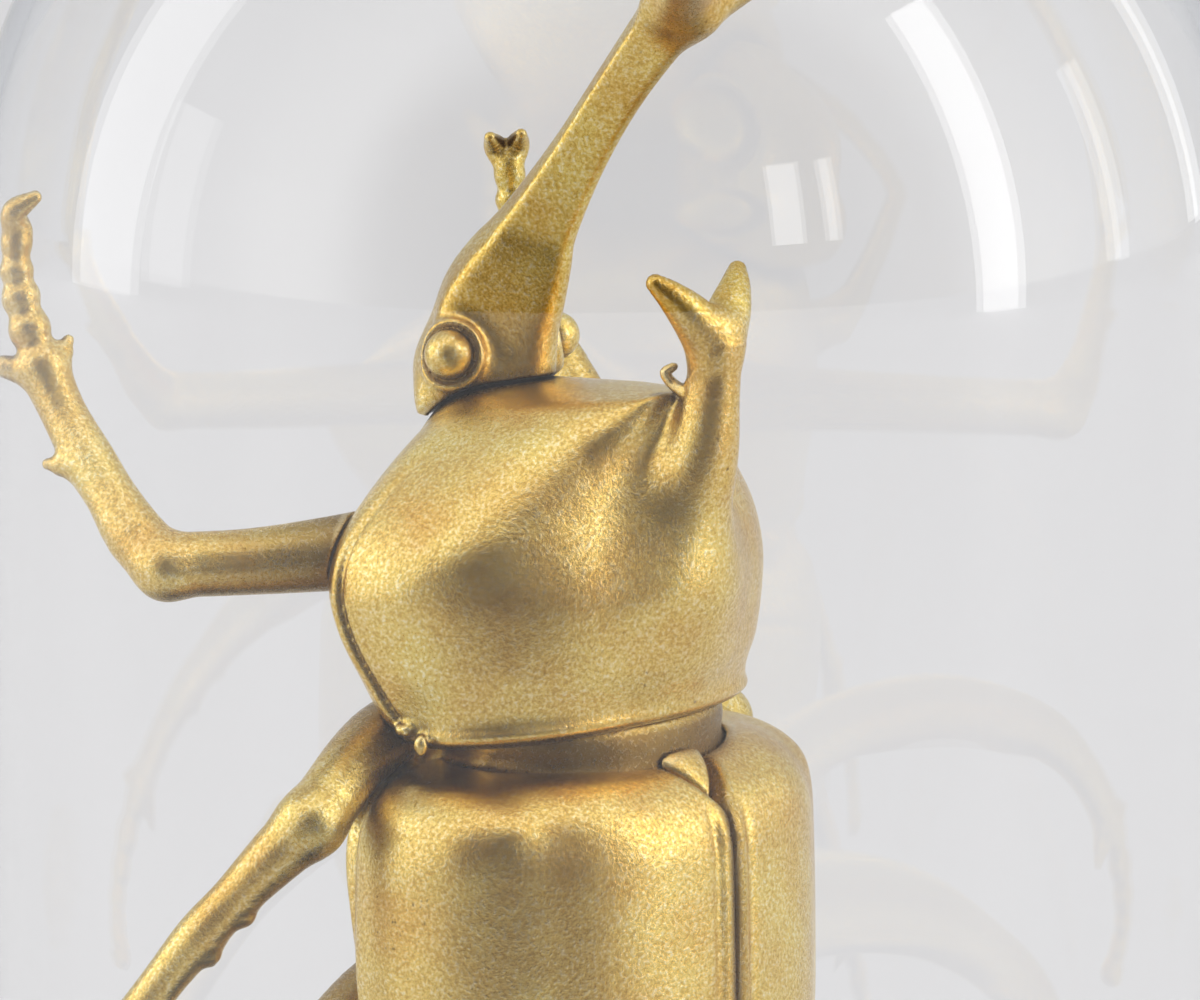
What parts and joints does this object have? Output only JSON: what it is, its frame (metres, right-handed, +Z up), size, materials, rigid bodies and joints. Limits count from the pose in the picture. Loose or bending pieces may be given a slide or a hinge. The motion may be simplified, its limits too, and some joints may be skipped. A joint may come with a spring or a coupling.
{
  "type": "gilded rhinoceros beetle in a glass dome",
  "caption": "Gilded cast rhinoceros beetle, head up on a brass rod, under a clear glass dome that stands in a grooved round wooden plinth.",
  "frame": {"origin": "middle of the underside of the felt pad, on the dome's axis", "axes": "+Z up, from the beetle's tail to its horn; the beetle's back faces -Y, its belly +Y and its left side -X"},
  "size_m": [0.196, 0.196, 0.301],
  "materials": {
    "gilded_casting": "cast resin gilded all over: satin metallic gold with a fine flake, and brown patina in the seams and hollows",
    "brass_rod": "drawn brass, lightly brushed",
    "ebonised_wood": "turned hardwood stained black under a satin lacquer",
    "black_felt": "short black felt",
    "clear_glass": "clear blown glass, polished"
  },
  "bodies": {
    "root": {"body": "gilded_casting", "pronotum": "gilded_casting", "head": "gilded_casting", "scutellum": "gilded_casting", "elytron_left": "gilded_casting", "elytron_right": "gilded_casting", "leg_front_left": "gilded_casting", "leg_front_right": "gilded_casting", "leg_middle_left": "gilded_casting", "leg_middle_right": "gilded_casting", "leg_hind_left": "gilded_casting", "leg_hind_right": "gilded_casting", "support_rod": "brass_rod", "plinth": "ebonised_wood", "felt_pad": "black_felt", "glass_dome": "clear_glass"}
  },
  "joints": []
}
